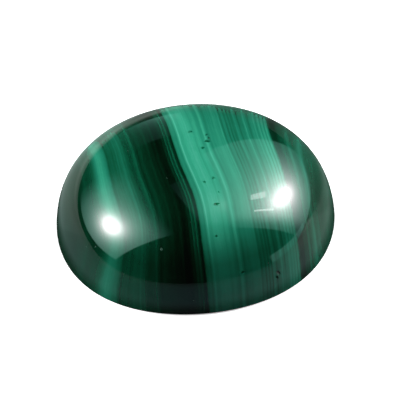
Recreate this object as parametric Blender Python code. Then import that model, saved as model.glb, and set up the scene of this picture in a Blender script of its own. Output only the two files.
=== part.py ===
"""An oval malachite cabochon: one polished stone, with a domed crown, a softened base edge and a flat back.

Run it with blender --background --python part.py, or from Blender's text editor.
Metres, +Z up. The origin is the middle of the flat back, and the oval's long axis runs along X.
"""

from math import pi, radians, sqrt, tan

import bmesh
import bpy
from mathutils import Vector

# Driving dimensions of the stone.
LENGTH = 0.0140
WIDTH = 0.0120
HEIGHT = 0.0050
EDGE_RADIUS = 0.00012

# How the stone differs from half of an ellipsoid, which has 0 for both.
SHOULDER_FULLNESS = 0.025  # share by which the four shoulders of the oval reach further out
CROWN_FLATNESS = 0.5  # the top of the dome is this share less curved, and the dome is fuller round it

# How finely the curved faces are divided: steps from one end of the stone to the other.
GRID_STEPS = 24
EDGE_SEGMENTS = 4

# The back meets the wall at a bend sharper than this, and no two facets of the crown do.
EDGE_ANGLE = radians(50)

MALACHITE_GREEN = (0.020, 0.190, 0.110, 1.0)
POLISH_ROUGHNESS = 0.06
MALACHITE_IOR = 1.80


def clear_scene():
    for item in list(bpy.data.objects):
        bpy.data.objects.remove(item)


def gridded_half_cube(mesh):
    """The upper half of a cube from -1 to 1, cut into a grid that has an edge loop at its waist."""
    bmesh.ops.create_cube(mesh, size=2)
    bmesh.ops.subdivide_edges(mesh, edges=mesh.edges, cuts=GRID_STEPS - 1, use_grid_fill=True)
    below_waist = [corner for corner in mesh.verts if corner.co.z < -1 / GRID_STEPS]
    bmesh.ops.delete(mesh, geom=below_waist, context="VERTS")


def on_ball(cube_point):
    """Moves a point of the cube to a ball of radius 1, with the grid lines evenly spread in angle."""
    return Vector([tan(side * pi / 4) for side in cube_point]).normalized()


def on_crown(ball_point):
    """Moves a point of the upper half of the ball to the crown of the stone."""
    x, y, z = ball_point
    fullness = 1 + 4 * SHOULDER_FULLNESS * x * x * y * y
    flatness = sqrt(1 + CROWN_FLATNESS * (x * x + y * y))
    return LENGTH / 2 * x * fullness, WIDTH / 2 * y * fullness, HEIGHT * z * flatness


def close_back(mesh):
    rim = [edge for edge in mesh.edges if edge.is_boundary]
    bmesh.ops.contextual_create(mesh, geom=rim)


def stone_mesh():
    """The closed surface of the stone, with a sharp edge where the wall meets the back."""
    mesh = bmesh.new()
    gridded_half_cube(mesh)
    for corner in mesh.verts:
        corner.co = on_crown(on_ball(corner.co))
    close_back(mesh)
    bmesh.ops.recalc_face_normals(mesh, faces=mesh.faces)
    data = bpy.data.meshes.new("cabochon")
    mesh.to_mesh(data)
    mesh.free()
    data.shade_smooth()
    data.set_sharp_from_angle(angle=EDGE_ANGLE)
    return data


def soften_base_edge(stone):
    """The small rounding that keeps the thin edge of the back from chipping."""
    bevel = stone.modifiers.new("base_edge", "BEVEL")
    bevel.limit_method = "ANGLE"
    bevel.angle_limit = EDGE_ANGLE
    bevel.width = EDGE_RADIUS
    bevel.segments = EDGE_SEGMENTS


def polished_malachite():
    material = bpy.data.materials.new("malachite")
    material.use_nodes = True
    shader = material.node_tree.nodes["Principled BSDF"]
    shader.inputs["Base Color"].default_value = MALACHITE_GREEN
    shader.inputs["Metallic"].default_value = 0.0
    shader.inputs["Roughness"].default_value = POLISH_ROUGHNESS
    shader.inputs["IOR"].default_value = MALACHITE_IOR
    return material


def build_cabochon():
    stone = bpy.data.objects.new("cabochon", stone_mesh())
    bpy.context.scene.collection.objects.link(stone)
    stone.data.materials.append(polished_malachite())
    soften_base_edge(stone)
    return stone


clear_scene()
build_cabochon()
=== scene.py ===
"""A polished malachite cabochon on a pale table: the stone, its banding, the camera and the studio lights.

Metres, +Z up, and millimetres in the pits, the markings and the table's light. The long axis runs along X.
"""

from math import cos, pi, radians, sin

import bmesh
import bpy
from mathutils import Matrix, Vector, noise


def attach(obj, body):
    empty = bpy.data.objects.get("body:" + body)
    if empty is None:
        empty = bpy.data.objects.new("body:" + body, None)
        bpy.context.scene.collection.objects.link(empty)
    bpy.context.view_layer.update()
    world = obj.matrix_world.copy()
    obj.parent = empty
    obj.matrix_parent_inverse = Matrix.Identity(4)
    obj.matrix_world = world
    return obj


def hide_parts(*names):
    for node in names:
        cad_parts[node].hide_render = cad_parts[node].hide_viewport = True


MM = 0.001

# The stone, as in its CAD.
LENGTH = 14.0 * MM
WIDTH = 12.0 * MM
HEIGHT = 5.0 * MM
EDGE_RADIUS = 0.12 * MM
SHOULDER_FULLNESS = 0.025
CROWN_FLATNESS = 0.5
MALACHITE_IOR = 1.8

# How finely the stone's surface is divided: steps from one end to the other, how far they crowd to the base, and how
# near two corners are when they are joined.
GRID_STEPS = 144
ROWS_TO_BASE = 1.5
MERGE_DISTANCE = 0.0001 * MM

# The camera stands in front of the stone, turned a little clockwise, and looks past it by a millimetre.
CAMERA_ELEVATION = radians(50.65)
CAMERA_DISTANCE = 0.2333
CAMERA_ROLL = radians(4.2)
CAMERA_RIGHT = 0.22 * MM
CAMERA_UP = 1.055 * MM
CAMERA_LENS = 417.2

# Pits left in the polish, in mm: where they are seen from above, how long, wide and deep, and their turn in degrees.
# The shaded ones have near-black insides, painted shade in the hollow. The pale ones have near-white insides. Their
# places were measured in the photo.
SHADED_PITS = (
    (0.07, 1.76, 0.27, 0.12, 0.14, 0),
    (0.85, 1.48, 0.15, 0.10, 0.10, 20),
    (0.88, 1.02, 0.28, 0.20, 0.20, -10),
    (0.95, 1.24, 0.12, 0.12, 0.10, 0),
    (0.61, 0.58, 0.18, 0.16, 0.16, 30),
    (1.03, -1.34, 0.14, 0.13, 0.12, 0),
    (0.58, -1.55, 0.17, 0.13, 0.12, -40),
    (1.23, -2.14, 0.10, 0.08, 0.06, 10),
    (1.09, -2.78, 0.28, 0.15, 0.16, 8),
    (0.97, -4.22, 0.18, 0.12, 0.12, 0),
    (2.12, -5.29, 0.18, 0.14, 0.10, 15),
    (3.81, -5.00, 0.26, 0.10, 0.12, 5),
)
PALE_PITS = (
    (3.90, -4.89, 0.32, 0.15, 0.05, -6),
    (-1.77, -4.48, 0.13, 0.15, 0.02, 0),
    (-0.25, -3.58, 0.06, 0.05, 0.02, 0),
    (-1.23, -1.13, 0.07, 0.05, 0.02, 50),
    (-0.39, -5.90, 0.07, 0.07, 0.02, 0),
    (-5.48, -3.04, 0.10, 0.06, 0.02, -60),
    (-5.03, -3.33, 0.10, 0.06, 0.02, -30),
    (3.43, -4.82, 0.06, 0.05, 0.02, 0),
    (-3.10, 1.05, 0.06, 0.05, 0.02, 0),
)

# How ragged a pit is, how many lumps it has, how sharp its edge is, and the material slots of the insides.
PIT_RAGGEDNESS = 0.4
PIT_LUMPS = 1.4
PIT_EDGE_ANGLE = radians(45)
SHADED_SLOT = 1
PALE_SLOT = 2

# The lamps' distance from the stone, and that of the glints, which hang in front of the right softbox.
LAMP_DISTANCE = 0.5
GLINT_DISTANCE = 0.45
KEY_LIGHT_SIZE = 0.6

# Where the softboxes are as seen from the stone: degrees to the right of the camera, and degrees up.
LEFT_SOFTBOX = (-85, 36)
RIGHT_SOFTBOX = (103, 38)

# The bulb seen through a softbox's cloth: how bright, and how fast it fades with the share of the distance.
BULB_GLOW = 46.0
BULB_FALL = 13.0

# The colour of the cloth by how brightly it shines: green where it is dim, and white where it is bright.
CLOTH_REACH = (0, 20)
CLOTH = (
    (0.0, (0.28, 1.0, 0.80)), (0.6, (0.40, 1.0, 0.84)), (1.4, (0.52, 1.0, 0.86)), (4.0, (0.78, 1.0, 0.93)),
    (8.4, (1.0, 1.0, 1.0)),
)

# The growth layers, with all lengths in mm: how far they lean, and how that changes with height and across the stone.
LAYER_LEAN = -0.137
LAYER_TWIST = -0.0038
LAYER_BEND = 0.0028
LAYER_FAN = 0.0044
LAYER_CROWDING = 0.0063

# The waver of the layers: its slant, where it starts, how fast it turns with the place and with the height, and how
# high it is. It calms down to the right, from a place on and over a length.
WAVE_SLANT = 0.37
WAVE_START = 0.15
WAVE_TURN = 1.16
WAVE_DIP = 0.42
WAVE_HEIGHT = 0.055
WAVE_HEIGHT_RIGHT = 0.02
WAVE_CALM_START = 1.5
WAVE_CALM_LENGTH = 2.0

# The reach of the markings across the stone, in mm.
ACROSS = (-5, 5)
LEFT_HALF = (-5, 0)
RIGHT_HALF = (0, 5)

# The bands, as the place across the layers in mm and the tone there, from 0 for black green to 1 for pale green.
# They were set by a profile measured across the photo's banding, and so were the pinstripes.
LEFT_BANDS = (
    (-4.90, 0.30), (-4.45, 0.30), (-4.25, 0.38), (-4.12, 0.50), (-4.00, 0.74), (-3.88, 0.78), (-3.80, 0.70),
    (-3.71, 0.60), (-3.63, 0.44), (-3.30, 0.45), (-3.05, 0.46), (-2.88, 0.37), (-2.70, 0.33), (-2.58, 0.36),
    (-2.48, 0.30), (-2.40, 0.25), (-2.12, 0.21), (-1.70, 0.15), (-1.30, 0.10), (-1.03, 0.14), (-0.95, 0.24),
    (-0.75, 0.26), (-0.66, 0.20), (-0.60, 0.22), (-0.53, 0.58), (-0.44, 0.68), (-0.34, 0.66), (-0.26, 0.78),
    (-0.19, 0.86), (-0.09, 0.80),
)
RIGHT_BANDS = (
    (0.00, 0.80), (0.08, 0.86), (0.45, 0.86), (0.60, 0.82), (0.78, 0.83), (0.92, 0.72), (1.00, 0.71), (1.08, 0.88),
    (1.14, 0.85), (1.28, 0.64), (1.42, 0.70), (1.77, 0.74), (2.01, 0.66), (2.30, 0.62), (2.60, 0.60), (2.90, 0.60),
    (3.10, 0.64), (3.30, 0.67), (3.50, 0.70), (3.74, 0.66), (3.82, 0.50), (3.90, 0.22), (4.02, 0.30), (4.15, 0.42),
    (4.44, 0.56), (4.65, 0.48),
)

# The pinstripes: where the middle of each is across the layers in mm, and how much paler it is than its band, or
# darker below 0. Each reaches as far to both sides.
PINSTRIPES = (
    (-4.42, 0.08), (-4.20, -0.04), (-3.95, 0.05), (-3.61, -0.06), (-3.40, -0.04), (-3.25, 0.04), (-3.09, 0.06),
    (-2.97, 0.05), (-2.79, -0.05), (-2.56, 0.10), (-2.40, -0.05), (-2.25, 0.06), (-1.90, 0.05), (-1.50, 0.05),
    (-1.07, 0.10), (-0.93, 0.17), (-0.77, 0.22), (-0.62, -0.10), (-0.31, -0.08), (-0.19, 0.10), (0.30, 0.03),
    (0.58, -0.05), (1.55, -0.05), (1.98, 0.10), (2.09, -0.15), (2.28, -0.12), (2.43, -0.12), (2.57, -0.14),
    (2.67, 0.15), (2.80, -0.10), (3.04, 0.16), (3.19, -0.11), (3.40, 0.15), (3.54, 0.20), (3.66, 0.22),
    (3.77, 0.28), (3.98, -0.08), (4.24, 0.18), (4.45, 0.15),
)
PINSTRIPE_REACH = 0.05
PINSTRIPES_PER_RAMP = 10

# How strong the thread-fine lines are across the layers, in tone.
THREADS = (
    (-5.0, 0.16), (-3.7, 0.14), (-3.0, 0.18), (-2.3, 0.14), (-1.1, 0.12), (-0.5, 0.10), (0.0, 0.09), (0.9, 0.14),
    (1.9, 0.26), (3.3, 0.30), (3.5, 0.30), (3.75, 0.30), (3.85, 0.24), (4.7, 0.36),
)

# Painted shade on the wall: the share of the tone that is left at a height in mm, darkest where the crown turns down
# into the wall. This holds in front, and fades out towards the back from a place along Y, by a share per mm.
WALL_PAINTED_SHADE = ((1.0, 0.85), (1.85, 0.80), (2.85, 0.67), (3.45, 0.77), (3.8, 0.88), (4.3, 1.0))
WALL_PAINTED_SHADE_END = 2.0
WALL_PAINTED_SHADE_FADE = 0.33

# Painted light and shade at the back: how much paler the greens are painted there, in tone, along X in mm. Below 0
# they are painted darker. This fades in towards the back from a place along Y, by a share per mm.
BACK_PAINTED_LIGHT = ((-4.0, 0.10), (-2.0, 0.07), (-0.8, -0.03), (0.0, -0.07), (5.0, -0.06))
BACK_PAINTED_LIGHT_START = 1.0
BACK_PAINTED_LIGHT_FADE = 0.4

# How rough the polish is, and how much rougher the lapped back, which is all that lies lower than BACK_TOP in mm.
# RELIEF is the height of a step of tone from 0 to 1, and the scratches of the back are LAPPING_HEIGHT times as high.
POLISH_ROUGHNESS = 0.045
BACK_ROUGHNESS = 0.38
BACK_TOP = 0.004
RELIEF = 0.00005 * MM
LAPPING_HEIGHT = 6.0

# The light of the table that the wall mirrors, from front to back in mm. To the right it changes sooner, by
# TABLE_SLANT mm for each mm.
TABLE_REACH = (-20, 20)
TABLE_GLOW = (
    (-18.0, (0.0, 0.0, 0.0)), (-16.0, (0.015, 0.04, 0.04)), (-13.6, (0.035, 0.09, 0.09)), (-10.4, (0.045, 0.11, 0.12)),
    (-7.6, (0.05, 0.125, 0.13)), (-5.2, (0.12, 0.21, 0.215)), (-2.0, (0.21, 0.30, 0.32)), (4.0, (0.36, 0.43, 0.41)),
    (12.0, (0.38, 0.44, 0.41)), (20.0, (0.80, 0.86, 0.81)),
)
TABLE_SLANT = 0.6

# The share of that light out from the stone, in stone sizes from its middle: its outline is at 1. Near the outline it
# falls to nothing, a painted contact shadow.
BESIDE_REACH = (0, 10)
TABLE_SHADE_BESIDE = ((1.0, 0.0), (1.05, 0.03), (1.22, 1.0), (2.5, 0.95), (5.0, 0.65), (10.0, 0.35))

# The share of that light to the right behind the stone, in mm, where the table lies in shade. The shade sets in
# behind the stone's middle, by SHADE_PER_MM, and further back it starts further to the left, by SHADE_SLANT.
SHADE_REACH = (-10, 30)
TABLE_BACK_RIGHT = (
    (-0.8, 1.0), (1.2, 0.55), (4.0, 0.55), (6.0, 0.34), (8.0, 0.12), (11.2, 0.08), (15.2, 0.03),
)
SHADE_PER_MM = 0.17
SHADE_SLANT = 0.4

# The floor's light out from the stone, in stone sizes from its middle: none under the outline, a painted contact
# shadow.
FLOOR_CONTACT_SHADOW = ((0.995, 0.0), (1.005, 1.0))

# How far the floor and the table reach, where the table starts in front of the stone, and how far they lie below it,
# in metres. ROOM_LIGHT is the grey of the dark room around them.
SHEET_REACH = 2.0
TABLE_START = -0.018
FLOOR_DEPTH = MM / 100
TABLE_DEPTH = MM / 30
ROOM_LIGHT = 0.01

# The greens of malachite from the darkest tone to the palest, set against colours measured in the photo.
GREENS = (
    (0.0, (0.0001, 0.0010, 0.0005)), (0.08, (0.0002, 0.0030, 0.0012)), (0.13, (0.0004, 0.0105, 0.0036)),
    (0.22, (0.0007, 0.031, 0.0120)), (0.32, (0.0014, 0.062, 0.028)), (0.43, (0.004, 0.112, 0.055)),
    (0.65, (0.015, 0.255, 0.150)), (0.84, (0.040, 0.430, 0.265)), (0.91, (0.075, 0.510, 0.335)),
    (1.0, (0.130, 0.620, 0.440)),
)


def put(tree, kind, inputs=(), **settings):
    """Adds a node, with values or other nodes' outputs on its inputs."""
    node = tree.nodes.new(kind)
    for name, value in settings.items():
        setattr(node, name, value)
    for key, value in dict(inputs).items():
        socket = node.inputs[key]
        if isinstance(value, bpy.types.NodeSocket):
            tree.links.new(value, socket)
        else:
            socket.default_value = value
    return node


class Sums:
    """Writes arithmetic as nodes, in a shader tree or a geometry tree."""

    def __init__(self, tree):
        self.tree = tree

    def __call__(self, operation, *values, clamp=False):
        inputs = dict(enumerate(values))
        return put(self.tree, "ShaderNodeMath", inputs, operation=operation, use_clamp=clamp).outputs[0]

    def add(self, first, *others):
        for other in others:
            first = self("ADD", first, other)
        return first

    def times(self, first, *others):
        for other in others:
            first = self("MULTIPLY", first, other)
        return first

    def minus(self, first, second):
        return self("SUBTRACT", first, second)

    def vector(self, operation, *values, **named):
        inputs = dict(enumerate(values)) | named
        node = put(self.tree, "ShaderNodeVectorMath", inputs, operation=operation)
        return node.outputs["Value" if operation == "LENGTH" else "Vector"]

    def split(self, vector):
        return tuple(put(self.tree, "ShaderNodeSeparateXYZ", {0: vector}).outputs)

    def joined(self, x, y, z):
        return put(self.tree, "ShaderNodeCombineXYZ", {0: x, 1: y, 2: z}).outputs[0]


# The stone's shape

def stone_tree(material):
    """The rule of the stone: a grid on a cube, blown up to a ball and pressed into the cabochon's crown."""
    tree = bpy.data.node_groups.new("cabochon_shape", "GeometryNodeTree")
    for name, value in (
        ("Length", LENGTH),
        ("Width", WIDTH),
        ("Height", HEIGHT),
        ("Edge radius", EDGE_RADIUS),
        ("Shoulder fullness", SHOULDER_FULLNESS),
        ("Crown flatness", CROWN_FLATNESS),
        ("Rows to base", ROWS_TO_BASE),
    ):
        tree.interface.new_socket(name, in_out="INPUT", socket_type="NodeSocketFloat").default_value = value
    tree.interface.new_socket("Grid steps", in_out="INPUT", socket_type="NodeSocketInt").default_value = GRID_STEPS
    tree.interface.new_socket("Geometry", in_out="OUTPUT", socket_type="NodeSocketGeometry")
    sizes = put(tree, "NodeGroupInput").outputs
    sums = Sums(tree)
    corners = sums.add(sizes["Grid steps"], 1)
    cube = put(
        tree,
        "GeometryNodeMeshCube",
        {
            "Size": (2, 2, 2),
            "Vertices X": corners,
            "Vertices Y": corners,
            "Vertices Z": corners,
        },
    ).outputs["Mesh"]
    place = put(tree, "GeometryNodeInputPosition").outputs[0]
    x, y, z = sums.split(place)
    below = sums("LESS_THAN", z, sums("DIVIDE", -1.0, sizes["Grid steps"]))
    upper = put(tree, "GeometryNodeDeleteGeometry", {"Geometry": cube, "Selection": below}).outputs[0]
    z = sums("POWER", sums("MAXIMUM", z, 0.0), sizes["Rows to base"])
    angles = sums.vector("SCALE", sums.joined(x, y, z), Scale=pi / 4)
    x, y, z = sums.split(sums.vector("NORMALIZE", sums.vector("TANGENT", angles)))
    x2 = sums.times(x, x)
    y2 = sums.times(y, y)
    fullness = sums.add(sums.times(4.0, sizes["Shoulder fullness"], x2, y2), 1.0)
    flatness = sums("SQRT", sums.add(sums.times(sizes["Crown flatness"], sums.add(x2, y2)), 1.0))
    wall_x = sums.times(sizes["Length"], 0.5, x, fullness)
    wall_y = sums.times(sizes["Width"], 0.5, y, fullness)
    wall_z = sums.times(sizes["Height"], z, flatness)
    radius = sizes["Edge radius"]
    under = sums("MAXIMUM", sums.minus(radius, wall_z), 0.0)
    pull = sums.minus(radius, sums("SQRT", sums.minus(sums.times(radius, radius), sums.times(under, under))))
    reach = sums.vector("LENGTH", sums.joined(wall_x, wall_y, 0.0))
    inward = sums.minus(1.0, sums("DIVIDE", pull, sums("MAXIMUM", reach, radius)))
    rounded = sums.joined(sums.times(wall_x, inward), sums.times(wall_y, inward), wall_z)
    crown = put(tree, "GeometryNodeSetPosition", {"Geometry": upper, "Position": rounded}).outputs[0]
    neighbours = put(tree, "GeometryNodeInputMeshEdgeNeighbors").outputs[0]
    on_rim = sums("LESS_THAN", neighbours, 1.5)
    rim = put(tree, "GeometryNodeMeshToCurve", {"Mesh": crown, "Selection": on_rim}).outputs[0]
    back = put(tree, "GeometryNodeFillCurve", {"Curve": rim})
    back = put(tree, "GeometryNodeFlipFaces", {"Mesh": back.outputs[0]}).outputs[0]
    joined = put(tree, "GeometryNodeJoinGeometry")
    tree.links.new(back, joined.inputs[0])
    tree.links.new(crown, joined.inputs[0])
    merging = {"Geometry": joined.outputs[0], "Distance": MERGE_DISTANCE}
    closed = put(tree, "GeometryNodeMergeByDistance", merging).outputs[0]
    smooth = put(tree, "GeometryNodeSetShadeSmooth", {"Geometry": closed}).outputs[0]
    whole = put(tree, "GeometryNodeRealizeInstances", {"Geometry": smooth}).outputs[0]
    finished = put(tree, "GeometryNodeSetMaterial", {"Geometry": whole, "Material": material}).outputs[0]
    put(tree, "NodeGroupOutput", {"Geometry": finished})
    return tree


def plain_copy(thing, name):
    """The object with its modifiers applied, as a plain mesh at the origin, in place of the object."""
    graph = bpy.context.evaluated_depsgraph_get()
    data = bpy.data.meshes.new_from_object(thing.evaluated_get(graph), preserve_all_data_layers=True, depsgraph=graph)
    data.name = name
    bpy.data.objects.remove(thing)
    plain = bpy.data.objects.new(name, data)
    bpy.context.scene.collection.objects.link(plain)
    return plain


def cut_stone(material):
    start = bpy.data.objects.new("stone_start", bpy.data.meshes.new("stone_start"))
    bpy.context.scene.collection.objects.link(start)
    shape = start.modifiers.new("cabochon_shape", "NODES")
    shape.node_group = stone_tree(material)
    return plain_copy(start, "cut_stone")


def ragged_grain(mesh, stone, number, x, y, length, width, depth, turn):
    """A grain of the size of a pit, half sunk in the stone where it falls on it from above."""
    _, place, normal, _ = stone.ray_cast(Vector((x * MM, y * MM, 2 * HEIGHT)), Vector((0, 0, -1)))
    level = Vector((0, 1, 0)).cross(normal).normalized()
    along = Matrix.Rotation(radians(turn), 3, normal) @ level
    axes = Matrix((along, normal.cross(along), normal)).transposed().to_4x4()
    sizes = Matrix.Diagonal((length / 2 * MM, width / 2 * MM, depth * MM, 1))
    grain = bmesh.ops.create_icosphere(mesh, subdivisions=3, radius=1.0)["verts"]
    for corner in grain:
        bump = noise.noise(corner.co * PIT_LUMPS + Vector((5.0 * number, 0, 0)))
        corner.co = Matrix.Translation(place) @ axes @ sizes @ (corner.co * (1 + PIT_RAGGEDNESS * bump))


def pit_grains(stone):
    """The grains of all pits in one object, with the slot of the stone that each pit's inside gets."""
    mesh = bmesh.new()
    for number, pit in enumerate(SHADED_PITS + PALE_PITS):
        before = len(mesh.faces)
        ragged_grain(mesh, stone, number, *pit)
        mesh.faces.ensure_lookup_table()
        for face in mesh.faces[before:]:
            face.material_index = SHADED_SLOT if number < len(SHADED_PITS) else PALE_SLOT
            face.smooth = True
    bmesh.ops.recalc_face_normals(mesh, faces=mesh.faces)
    grains = bpy.data.objects.new("pit_grains", bpy.data.meshes.new("pit_grains"))
    mesh.to_mesh(grains.data)
    mesh.free()
    for material in stone.data.materials:
        grains.data.materials.append(material)
    bpy.context.scene.collection.objects.link(grains)
    return grains


def flatten_back(stone):
    """Shades the back flat. Its faces are the ones that look straight down."""
    for face in stone.data.polygons:
        if face.normal.z < -0.999:
            face.use_smooth = False


def pitted_stone(stone, shaded_inside, pale_inside):
    """The stone with its pits cut into the polish, down to the rough inside."""
    stone.data.materials.append(shaded_inside)
    stone.data.materials.append(pale_inside)
    grains = pit_grains(stone)
    pits = stone.modifiers.new("pits", "BOOLEAN")
    pits.operation = "DIFFERENCE"
    pits.solver = "EXACT"
    pits.object = grains
    pitted = plain_copy(stone, "malachite_cabochon")
    bpy.data.objects.remove(grains)
    pitted.data.set_sharp_from_angle(angle=PIT_EDGE_ANGLE)
    flatten_back(pitted)
    return pitted


# The malachite

def ramp(tree, value, reach, stops):
    """The tone or colour for a value between the two ends of a reach. Each stop is (value, tone or colour)."""
    start, end = reach
    sums = Sums(tree)
    node = put(tree, "ShaderNodeValToRGB", {0: sums.times(sums.minus(value, start), 1 / (end - start))})
    steps = node.color_ramp.elements
    while len(steps) < len(stops):
        steps.new(0.5)
    for step, (at, paint) in zip(steps, stops):
        step.position = (at - start) / (end - start)
        step.color = (*paint, 1) if isinstance(paint, tuple) else (paint, paint, paint, 1)
    return node.outputs[0]


def change_ramp(tree, value, reach, stops):
    """The change of tone for a value. A ramp holds nothing below 0, so it holds the change and a half."""
    return Sums(tree).minus(ramp(tree, value, reach, [(at, 0.5 + change) for at, change in stops]), 0.5)


def place_in_mm(tree):
    return Sums(tree).vector("SCALE", put(tree, "ShaderNodeTexCoord").outputs["Object"], Scale=1 / MM)


def growth_layer(sums, x, y, z):
    """How far across the growth layers a point lies, in mm. The layers lean, fan out and waver a little."""
    lean = sums.add(
        sums.times(y, LAYER_LEAN),
        sums.times(y, z, z, LAYER_TWIST),
        sums.times(x, y, y, LAYER_BEND),
        sums.times(x, x, y, LAYER_FAN),
        sums.times(x, x, x, LAYER_CROWDING),
    )
    across = sums.minus(x, lean)
    along = sums.minus(sums.minus(y, sums.times(x, WAVE_SLANT)), WAVE_START)
    phase = sums.add(sums.times(along, WAVE_TURN), sums.times(sums.minus(z, HEIGHT / MM), WAVE_DIP))
    calming = sums("MULTIPLY", sums.minus(across, WAVE_CALM_START), 1 / WAVE_CALM_LENGTH, clamp=True)
    height = sums.add(sums.times(calming, WAVE_HEIGHT_RIGHT - WAVE_HEIGHT), WAVE_HEIGHT)
    return sums.add(across, sums.times(sums("COSINE", phase), height))


def speckle(tree, place, strength, scale=1.0, detail=3.0, roughness=0.6):
    """Noise of a strength, half below 0 and half above, whose grains are about 1/scale across."""
    inputs = {"Vector": place, "Scale": scale, "Detail": detail, "Roughness": roughness}
    sums = Sums(tree)
    return sums.times(sums.minus(put(tree, "ShaderNodeTexNoise", inputs).outputs[0], 0.5), strength)


def drawn_out(sums, layer, y, z, across, along):
    """Where noise is read that runs along the layers: how often it changes per mm across them and along them."""
    return sums.joined(sums.times(layer, across), sums.times(y, along), sums.times(z, along))


def band_tone(tree, layer):
    """The tone of the broad bands."""
    left = ramp(tree, layer, LEFT_HALF, LEFT_BANDS)
    right = ramp(tree, layer, RIGHT_HALF, RIGHT_BANDS)
    on_right = Sums(tree)("GREATER_THAN", layer, 0.0)
    return put(tree, "ShaderNodeMix", {0: on_right, 2: left, 3: right}).outputs[0]


def pinstripe_tone(tree, layer):
    """How much paler or darker the pinstripes are than their bands. One ramp can't hold them all."""
    groups = []
    for first in range(0, len(PINSTRIPES), PINSTRIPES_PER_RAMP):
        stops = []
        for middle, change in PINSTRIPES[first:first + PINSTRIPES_PER_RAMP]:
            stops += [(middle - PINSTRIPE_REACH, 0.0), (middle, change), (middle + PINSTRIPE_REACH, 0.0)]
        groups.append(change_ramp(tree, layer, ACROSS, stops))
    return Sums(tree).add(*groups)


def banding_tone(tree, place):
    """The tone of the bands with their pinstripes, threads, fibres and clouds."""
    sums = Sums(tree)
    x, y, z = sums.split(place)
    layer = sums.add(
        growth_layer(sums, x, y, z),
        speckle(tree, place, 0.05, scale=0.8),
        speckle(tree, place, 0.012, scale=5.0),
    )
    fading = sums.add(speckle(tree, drawn_out(sums, layer, y, z, across=2.0, along=0.5), 1.6), 1.0)
    pinstripe = sums.times(pinstripe_tone(tree, layer), fading)
    contrast = ramp(tree, layer, ACROSS, THREADS)
    threads = drawn_out(sums, layer, y, z, across=12.0, along=0.16)
    thread = speckle(tree, threads, contrast, detail=4.0, roughness=0.65)
    fibres = drawn_out(sums, layer, y, z, across=16.0, along=2.4)
    fibre = speckle(tree, fibres, 0.10, detail=4.0, roughness=0.7)
    cloud = speckle(tree, place, 0.06, scale=0.45, detail=4.0, roughness=0.55)
    return sums.add(band_tone(tree, layer), pinstripe, thread, fibre, cloud)


def malachite_tone(tree, place):
    """The tone of the stone: its banding, with painted shade low on the front wall, and painted light and shade at the
    back.
    """
    sums = Sums(tree)
    x, y, z = sums.split(place)
    # Painted shade: the greens are darkened low on the front wall.
    wall_shade = ramp(tree, z, (0, HEIGHT / MM), WALL_PAINTED_SHADE)
    in_front = sums("MULTIPLY", sums.minus(WALL_PAINTED_SHADE_END, y), WALL_PAINTED_SHADE_FADE, clamp=True)
    unshaded_share = sums.minus(1.0, sums.times(sums.minus(1.0, wall_shade), in_front))
    # Painted light and shade at the back: paler to the left, darker to the right.
    behind = sums("MULTIPLY", sums.minus(y, BACK_PAINTED_LIGHT_START), BACK_PAINTED_LIGHT_FADE, clamp=True)
    painted_back_light = change_ramp(tree, x, ACROSS, BACK_PAINTED_LIGHT)
    return sums.add(sums.times(banding_tone(tree, place), unshaded_share), sums.times(painted_back_light, behind))


def malachite():
    """Banded malachite with a high polish, and a lapped back with fine scratches."""
    material = bpy.data.materials.new("banded_malachite")
    material.use_nodes = True
    tree = material.node_tree
    sums = Sums(tree)
    place = place_in_mm(tree)
    x, y, z = sums.split(place)
    tone = malachite_tone(tree, place)
    on_back = sums("LESS_THAN", z, BACK_TOP)
    lapping = speckle(tree, sums.joined(sums.times(x, 30.0), sums.times(y, 2.0), 0.0), 0.2)
    polish = sums.add(speckle(tree, place, 0.03, scale=2.5), POLISH_ROUGHNESS)
    roughness = sums.add(polish, sums.times(on_back, sums.add(lapping, BACK_ROUGHNESS)))
    height = sums.add(tone, sums.times(on_back, lapping, LAPPING_HEIGHT))
    relief = put(tree, "ShaderNodeBump", {"Strength": 1.0, "Distance": RELIEF, "Height": height})
    shader = tree.nodes["Principled BSDF"]
    tree.links.new(ramp(tree, tone, (0, 1), GREENS), shader.inputs["Base Color"])
    tree.links.new(roughness, shader.inputs["Roughness"])
    tree.links.new(relief.outputs[0], shader.inputs["Normal"])
    shader.inputs["IOR"].default_value = MALACHITE_IOR
    return material


def rough_inside(name, darkest, palest, roughness):
    """The inside of a pit, which no polish reached, with its colours speckled between two."""
    material = bpy.data.materials.new(name)
    material.use_nodes = True
    tree = material.node_tree
    share = Sums(tree).add(speckle(tree, place_in_mm(tree), 2.0, scale=18.0), 0.5)
    shader = tree.nodes["Principled BSDF"]
    tree.links.new(ramp(tree, share, (0, 1), ((0.0, darkest), (1.0, palest))), shader.inputs["Base Color"])
    shader.inputs["Roughness"].default_value = roughness
    shader.inputs["IOR"].default_value = MALACHITE_IOR
    return material


# The table, the camera and the lights

def camera():
    towards = Vector((0, -cos(CAMERA_ELEVATION), sin(CAMERA_ELEVATION)))
    level = Vector((1, 0, 0))
    upright = towards.cross(level)
    right = level * cos(CAMERA_ROLL) - upright * sin(CAMERA_ROLL)
    up = level * sin(CAMERA_ROLL) + upright * cos(CAMERA_ROLL)
    data = bpy.data.cameras.new("camera")
    data.sensor_width = 36
    data.lens = CAMERA_LENS
    data.clip_start = 0.01
    viewer = bpy.data.objects.new("camera", data)
    place = towards * CAMERA_DISTANCE + right * CAMERA_RIGHT + up * CAMERA_UP
    viewer.matrix_world = Matrix.Translation(place) @ Matrix((right, up, towards)).transposed().to_4x4()
    bpy.context.scene.collection.objects.link(viewer)
    bpy.context.scene.camera = viewer


def facing(azimuth, elevation):
    """The directions away from the stone, to the right and up, on a panel that faces the stone."""
    a = radians(azimuth)
    e = radians(elevation)
    away = Vector((sin(a) * cos(e), -cos(a) * cos(e), sin(e)))
    right = Vector((0, 0, 1)).cross(away).normalized()
    return away, right, away.cross(right)


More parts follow.
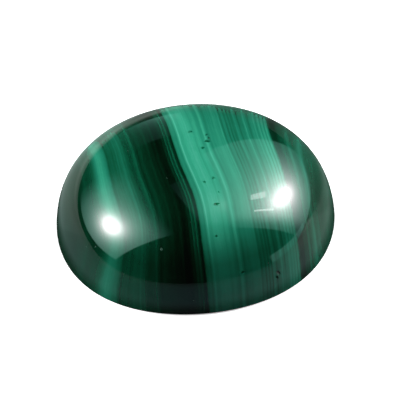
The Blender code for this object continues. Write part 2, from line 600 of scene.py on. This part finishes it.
def lamp(name, direction, place, size, radiance, distance=LAMP_DISTANCE):
    """A lamp panel. Its place and size are in shares of its distance, and azimuth 0 is towards the camera."""
    away, right, up = facing(*direction)
    data = bpy.data.lights.new(name, "AREA")
    data.shape = "RECTANGLE"
    data.size = size[0] * distance
    data.size_y = size[1] * distance
    data.energy = radiance * pi * data.size * data.size_y
    panel = bpy.data.objects.new(name, data)
    middle = (away + right * place[0] + up * place[1]) * distance
    panel.matrix_world = Matrix.Translation(middle) @ Matrix((right, up, away)).transposed().to_4x4()
    panel.visible_camera = False
    bpy.context.scene.collection.objects.link(panel)
    return panel


def soft_step(tree, value, start, end, before, after):
    """One amount before the start and another after the end, with a soft change between them."""
    inputs = {"Value": value, "From Min": start, "From Max": end, "To Min": before, "To Max": after}
    return put(tree, "ShaderNodeMapRange", inputs, interpolation_type="SMOOTHSTEP").outputs[0]


def softbox(
    name, direction, place, size, bulb, glow, fall, base, dim_side, dim_top=None, bulb_glow=0.0, turn=0.0, stretch=1.0
):
    """A softbox as the polish mirrors it: the cloth is brightest over the bulb behind it.

    Places are in shares of the distance, from the softbox's direction. dim_side is where the dimming to one side ends
    and starts, and the share that it leaves. dim_top is where the cloth fades out at its top.
    The bulb's own glow is turned, and narrower across by the stretch.
    """
    panel = lamp(name, direction, place, size, 1.0)
    panel.visible_diffuse = False
    panel.data.use_nodes = True
    tree = panel.data.node_tree
    sums = Sums(tree)
    cloth = sums.vector("SCALE", put(tree, "ShaderNodeTexCoord").outputs["Object"], Scale=1 / LAMP_DISTANCE)
    x, y, _ = sums.split(cloth)
    dimming = soft_step(tree, x, dim_side[0] - place[0], dim_side[1] - place[0], dim_side[2], 1.0)
    if dim_top:
        at_top = soft_step(tree, y, dim_top[0] - place[1], dim_top[1] - place[1], 1.0, 0.0)
        dimming = sums.times(dimming, at_top)
    x = sums.minus(x, bulb[0] - place[0])
    y = sums.minus(y, bulb[1] - place[1])
    spread = sums.vector("LENGTH", sums.joined(x, y, 0.0))
    along = sums.add(sums.times(x, cos(turn)), sums.times(y, sin(turn)))
    across = sums.add(sums.times(x, -sin(turn)), sums.times(y, cos(turn)))
    core = sums.vector("LENGTH", sums.joined(along, sums.times(across, stretch), 0.0))
    light = sums.add(
        sums.times(sums("EXPONENT", sums.times(spread, -fall)), glow),
        sums.times(sums("EXPONENT", sums.times(core, -BULB_FALL)), bulb_glow),
        base,
    )
    light = sums.times(light, dimming)
    emission = tree.nodes["Emission"]
    tree.links.new(light, emission.inputs["Strength"])
    tree.links.new(ramp(tree, light, CLOTH_REACH, CLOTH), emission.inputs["Color"])
    return panel


def key_light(name, azimuth, elevation, strength):
    """The light that a softbox casts into the stone. Its mirror image is the softbox's."""
    size = (KEY_LIGHT_SIZE, KEY_LIGHT_SIZE)
    light = lamp(name, (azimuth, elevation), (0, 0), size, strength * pi / KEY_LIGHT_SIZE ** 2)
    light.visible_glossy = False
    return light


def glint(name, direction, place, size, radiance):
    """A bright spot in front of a softbox that only the polish shows."""
    spot = lamp(name, direction, place, size, radiance, distance=GLINT_DISTANCE)
    spot.visible_diffuse = False
    return spot


def flat_sheet(name, near, depth, material):
    """A level sheet below the stone's back, from a place in front of it to far behind."""
    far = SHEET_REACH
    corners = [(-far, near, -depth), (far, near, -depth), (far, far, -depth), (-far, far, -depth)]
    data = bpy.data.meshes.new(name)
    data.from_pydata(corners, [], [range(len(corners))])
    data.materials.append(material)
    sheet = bpy.data.objects.new(name, data)
    bpy.context.scene.collection.objects.link(sheet)
    return sheet


def paper(name, colour, glow):
    material = bpy.data.materials.new(name)
    material.use_nodes = True
    shader = material.node_tree.nodes["Principled BSDF"]
    shader.inputs["Base Color"].default_value = (*colour, 1)
    shader.inputs["Roughness"].default_value = 0.9
    shader.inputs["Emission Color"].default_value = (*colour, 1)
    shader.inputs["Emission Strength"].default_value = glow
    return material


def stone_widths(sums, place):
    """How far a point in mm is from the middle of the stone, where its outline is 1."""
    x, y, _ = sums.split(place)
    return sums.vector("LENGTH", sums.joined(sums.times(x, 2 * MM / LENGTH), sums.times(y, 2 * MM / WIDTH), 0.0))


def pale_floor():
    """White paper, with a painted contact shadow where the stone stands on it."""
    material = paper("pale_floor", (0.95, 0.95, 0.95), 1.0)
    tree = material.node_tree
    # Painted contact shadow: the floor's glow is zero under the stone's outline.
    outside_contact_shadow = ramp(tree, stone_widths(Sums(tree), place_in_mm(tree)), BESIDE_REACH, FLOOR_CONTACT_SHADOW)
    tree.links.new(outside_contact_shadow, tree.nodes["Principled BSDF"].inputs["Emission Strength"])
    return material


def dim_table():
    """The table as the wall mirrors it: dim in front, paler behind, a painted contact shadow where the stone stands.
    """
    material = paper("dim_table", (0.0, 0.0, 0.0), 1.0)
    tree = material.node_tree
    sums = Sums(tree)
    place = place_in_mm(tree)
    x, y, _ = sums.split(place)
    backward = sums.add(y, sums.times(sums("MAXIMUM", x, 0.0), TABLE_SLANT))
    glow = ramp(tree, backward, TABLE_REACH, TABLE_GLOW)
    # Painted contact shadow: the table's glow falls to nothing at the stone's outline.
    shade_beside = ramp(tree, stone_widths(sums, place), BESIDE_REACH, TABLE_SHADE_BESIDE)
    behind = sums("MULTIPLY", y, SHADE_PER_MM, clamp=True)
    to_right = sums.add(sums.times(x, behind), sums.times(behind, y, SHADE_SLANT))
    back_right = ramp(tree, to_right, SHADE_REACH, TABLE_BACK_RIGHT)
    shader = tree.nodes["Principled BSDF"]
    tree.links.new(glow, shader.inputs["Emission Color"])
    tree.links.new(sums.times(shade_beside, back_right), shader.inputs["Emission Strength"])
    return material


def ground():
    """The floor, which only the camera sees, and the table, which the camera doesn't see and the stone does."""
    floor = flat_sheet("floor", -SHEET_REACH, FLOOR_DEPTH, pale_floor())
    floor.visible_glossy = False
    floor.visible_diffuse = False
    table = flat_sheet("table_sheen", TABLE_START, TABLE_DEPTH, dim_table())
    table.visible_camera = False


def lamps():
    """The softboxes and cards that the polish mirrors, and the two lights that fall into the stone."""
    softbox(
        "left_softbox", LEFT_SOFTBOX, place=(-0.14, 0.10), size=(1.52, 1.34), bulb=(0.05, -0.03),
        glow=9.0, fall=3.8, base=0.20, dim_side=(-0.95, -0.50, 0.20), dim_top=(0.40, 0.82),
        bulb_glow=BULB_GLOW, stretch=1.1,
    )
    softbox(
        "right_softbox", RIGHT_SOFTBOX, place=(0.17, -0.06), size=(1.70, 1.66), bulb=(-0.04, -0.03),
        glow=13.5, fall=3.6, base=0.35, dim_side=(-0.65, -0.30, 0.40),
        bulb_glow=BULB_GLOW, turn=radians(-45), stretch=1.6,
    )
    softbox(
        "ceiling_spill", RIGHT_SOFTBOX, place=(0.05, 1.07), size=(1.50, 0.60), bulb=(0.0, 0.77),
        glow=2.0, fall=3.5, base=0.0, dim_side=(-0.70, -0.40, 0.0),
    )
    softbox(
        "back_left_card", (-168, 18), place=(0.0, 0.0), size=(0.36, 0.60), bulb=(-0.08, -0.25),
        glow=0.7, fall=3.0, base=0.0, dim_side=(0.18, -0.08, 0.2),
    )
    softbox(
        "low_right_card", (66, -2), place=(0.0, 0.0), size=(0.74, 0.21), bulb=(0.0, 0.0),
        glow=0.6, fall=0.0, base=0.0, dim_side=(0.37, 0.30, 0.6),
    )
    glint("right_bulb_rim", RIGHT_SOFTBOX, (0.03, 0.36), (0.10, 0.20), 2.6)
    glint("right_bulb_tube", RIGHT_SOFTBOX, (-0.25, 0.25), (0.035, 0.30), 3.5)
    key_light("left_key", -95, 36, 0.95)
    key_light("right_key", 108, 36, 0.85)


def studio():
    bpy.context.scene.view_settings.view_transform = "Standard"
    world = bpy.data.worlds.new("studio")
    world.use_nodes = True
    world.node_tree.nodes["Background"].inputs[0].default_value = (ROOM_LIGHT, ROOM_LIGHT, ROOM_LIGHT, 1)
    bpy.context.scene.world = world
    ground()
    lamps()


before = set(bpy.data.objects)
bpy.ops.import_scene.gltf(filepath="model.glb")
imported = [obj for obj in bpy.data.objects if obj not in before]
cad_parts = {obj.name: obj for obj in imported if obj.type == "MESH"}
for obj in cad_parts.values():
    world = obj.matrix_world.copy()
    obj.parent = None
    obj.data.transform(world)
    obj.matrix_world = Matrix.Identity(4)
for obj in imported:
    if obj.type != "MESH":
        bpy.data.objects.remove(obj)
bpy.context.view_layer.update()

camera()
stone = pitted_stone(
    cut_stone(malachite()),
    # The shaded pits' insides are near-black: painted shade in the hollow.
    rough_inside("pit_painted_shade", (0.0, 0.008, 0.004), (0.004, 0.045, 0.025), 0.8),
    # The pale pits' insides are near-white.
    rough_inside("pale_pit_inside", (0.70, 0.92, 0.84), (0.95, 0.98, 0.96), 0.15),
)
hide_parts("cabochon")
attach(stone, "root")
studio()
